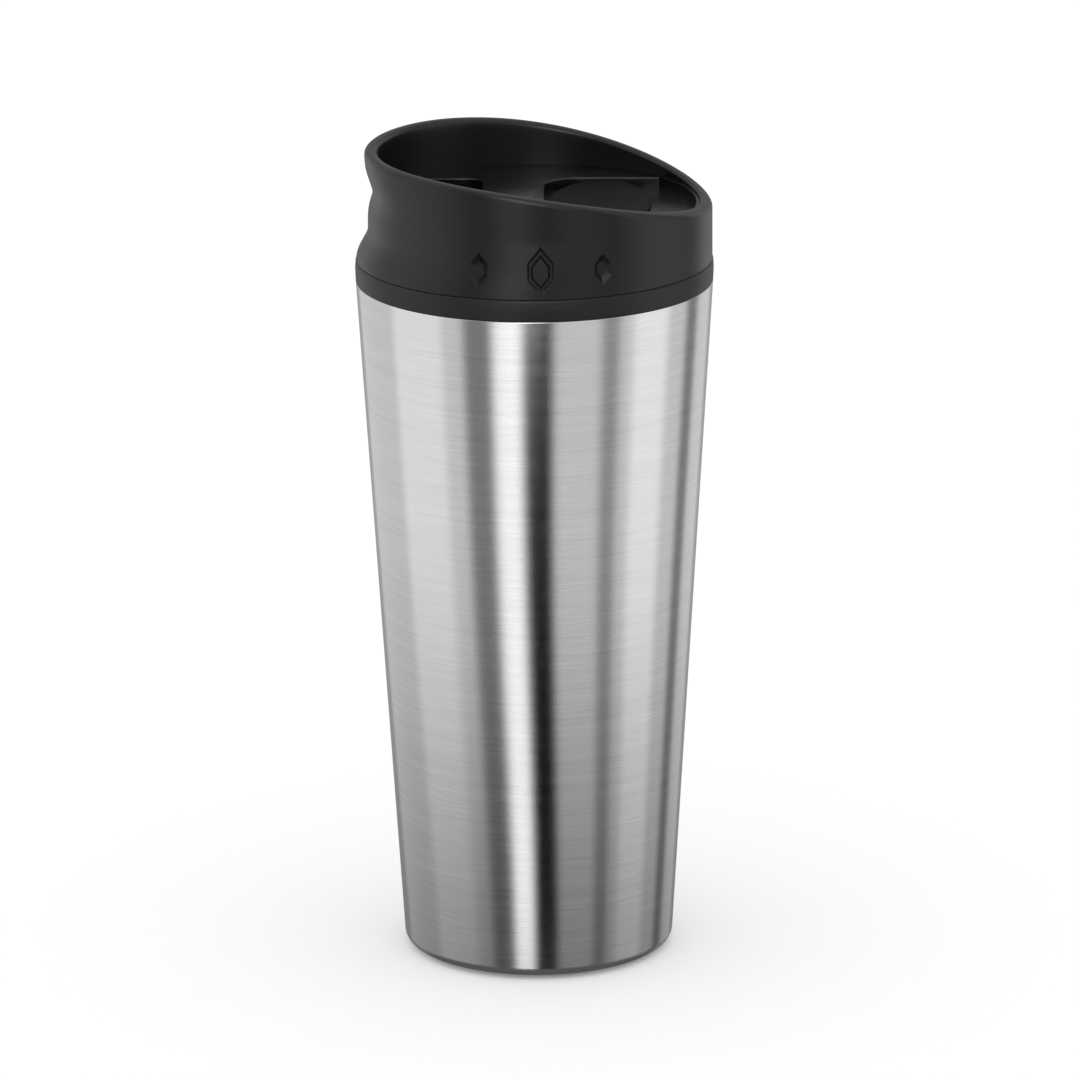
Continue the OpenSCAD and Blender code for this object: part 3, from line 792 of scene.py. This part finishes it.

# %% [markdown]
# ## The closing spring
# The spring is round wire on a helix, with a flat coil at each end. A small circle is spun
# five turns, and climbs only on the middle ones. In the mug the rocker squeezes it when it
# tilts, flattening it towards its fixed upper end; here it is built at its rest length only.

# %% Closing spring
spring_low, spring_high = span("closing_spring")
WIRE_R = 0.25
COIL_STEPS = 28
FLAT_TURNS = 0.8
CLIMB_TURNS = 3.4
spring_mid = (spring_low + spring_high) / 2
coil_r = (spring_high.x - spring_low.x) / 2 - WIRE_R
spring = bmesh.new()
bmesh.ops.create_circle(spring, cap_ends=False, segments=12, radius=WIRE_R,
                        matrix=Matrix.Translation((coil_r, 0, WIRE_R)) @ Matrix.Rotation(math.pi / 2, 4, "X"))
head = spring.verts[:] + spring.edges[:]
first_ring = spring.edges[:]
climb_height = spring_high.z - spring_low.z - 2 * WIRE_R
for turns, climb in ((FLAT_TURNS, 0.0), (CLIMB_TURNS, climb_height), (FLAT_TURNS, 0.0)):
    steps = round(turns * COIL_STEPS)
    head = bmesh.ops.spin(spring, geom=head, cent=(0, 0, 0), axis=(0, 0, 1), dvec=(0, 0, climb / steps),
                          angle=turns * 2 * math.pi, steps=steps)["geom_last"]
for ends in (first_ring, [edge for edge in head if isinstance(edge, bmesh.types.BMEdge)]):
    bmesh.ops.holes_fill(spring, edges=ends, sides=12)
bmesh.ops.translate(spring, vec=(spring_mid.x, spring_mid.y, spring_low.z), verts=spring.verts)
spring_piece = add_piece(spring, "coil_spring", "lid", "small_steel", "closing_spring")
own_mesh(spring_piece)

# %% [markdown]
# ## The studio
# Polished metal is a mirror of its room, so the room is half of the finish. The floor is a pale
# sheet. Round the mug stands a tent that only reflections see: soft bright panels, darker cards,
# and one black flag in front, which draws the dark stripe down the middle of the steel. A light
# above the flag picks out the lid. The tent's bottom is dim, so the mug's lower edge stays dark.

# %% Floor and world
floor_mesh = bmesh.new()
bmesh.ops.create_circle(floor_mesh, cap_ends=True, segments=96, radius=8)
floor_data = bpy.data.meshes.new("floor")
floor_mesh.to_mesh(floor_data)
floor_mesh.free()
floor = bpy.data.objects.new("floor", floor_data)
scene.collection.objects.link(floor)
paper = Finish("floor_paper", Base_Color=grey(0.92), Roughness=0.9, Emission_Color=grey(1.0),
               Emission_Strength=0.12)
floor_data.materials.append(paper.material)
floor.visible_glossy = False
scene.view_settings.view_transform = "Standard"
world = bpy.data.worlds.new("studio")
world.use_nodes = True
world.node_tree.nodes["Background"].inputs["Color"].default_value = grey(1.0)
world.node_tree.nodes["Background"].inputs["Strength"].default_value = 1.0
scene.world = world
print("floor and world ready")

# %% Reflection tent
TENT_R = 0.5
TENT_LOW = -0.42
TENT_HIGH = 0.75
FLAG_TOP = 0.19
ROOM_LIGHT = 0.75
TOP_LIGHT = 4.5
BOTTOM_LIGHT = 0.12
SOFT_EDGE = 6
LOW_SHARE = 0.35
FADE_LOW = -0.26
FADE_HIGH = -0.03
LEAN = 6
# Panels as (azimuth, half width, light). Azimuth is in degrees, 0 towards the camera and growing
# to the right. Hanging panels fade towards the floor, and standing ones reach it.
HANGING = [(-80, 20, 1.0), (-36, 9, 0.25), (48, 6, 0.35), (78, 14, 1.1), (118, 7, 0.25), (-180, 30, 0.4),
           (180, 30, 0.4)]
STANDING = [(-17, 8, 1.3), (2, 9, 0.0)]


def add_panels(lit, panels):
    """Lays upright panels with soft edges over what is lit so far."""
    for middle, half, light in panels:
        off = azimuth.math("ABSOLUTE", azimuth - middle)
        edges = {"From Min": half + SOFT_EDGE / 2, "From Max": half - SOFT_EDGE / 2}
        share = tent_finish.node("MapRange", inputs={"Value": off, **edges})
        lit = blend(tent_finish, share, lit, grey(light))
    return lit


tent_finish = Finish("tent")
place = tent_finish.node("TexCoord", output="Object")
axes = tent_finish.node("SeparateXYZ", inputs={0: place})
across = Wire(tent_finish, axes.socket.node.outputs["X"])
away = Wire(tent_finish, axes.socket.node.outputs["Y"])
up = Wire(tent_finish, axes.socket.node.outputs["Z"])
turn = across.math("ARCTAN2", across, 0 - away) / (2 * math.pi) + 0.5
rise = {"From Min": FADE_LOW, "From Max": FADE_HIGH}
height = tent_finish.node("MapRange", inputs={"Value": up, **rise})
azimuth = (turn - 0.5) * 360 - (1 - height) * LEAN
hung = add_panels(grey(ROOM_LIGHT), HANGING)
fall = LOW_SHARE + height * (1 - LOW_SHARE)
panels = add_panels(blend(tent_finish, fall, grey(0), hung), STANDING)
over = {"From Min": FLAG_TOP - 0.02, "From Max": FLAG_TOP + 0.05}
above_flag = tent_finish.node("MapRange", inputs={"Value": up, **over})
front = ramped(tent_finish, turn, (0.445, 0.0), (0.475, 1.0), (0.50, 1.0), (0.53, 0.0))
lit = blend(tent_finish, above_flag * front, panels, grey(TOP_LIGHT))
off_floor = {"From Min": TENT_LOW + 0.02, "From Max": TENT_LOW + 0.10}
clear = tent_finish.node("MapRange", inputs={"Value": up, **off_floor})
lit = blend(tent_finish, clear, grey(BOTTOM_LIGHT), lit)
glow = tent_finish.node("Emission", inputs={"Color": lit, "Strength": 1.0})
output = tent_finish.tree.nodes["Material Output"]
tent_finish.feed(output.inputs["Surface"], glow)

tent_mesh = bmesh.new()
bmesh.ops.create_cone(tent_mesh, cap_ends=True, segments=128, radius1=TENT_R, radius2=TENT_R,
                      depth=TENT_HIGH - TENT_LOW,
                      matrix=Matrix.Translation((0, 0, (TENT_HIGH + TENT_LOW) / 2)))
top_faces = [face for face in tent_mesh.faces if face.calc_center_median().z > TENT_HIGH - 0.01]
bmesh.ops.delete(tent_mesh, geom=top_faces, context="FACES_ONLY")
tent_data = bpy.data.meshes.new("tent")
tent_mesh.to_mesh(tent_data)
tent_mesh.free()
tent_data.materials.append(tent_finish.material)
tent = bpy.data.objects.new("tent", tent_data)
scene.collection.objects.link(tent)
tent.visible_camera = False
tent.visible_diffuse = False
tent.visible_shadow = False
tent.visible_transmission = False
print("tent panels:", len(HANGING) + len(STANDING))
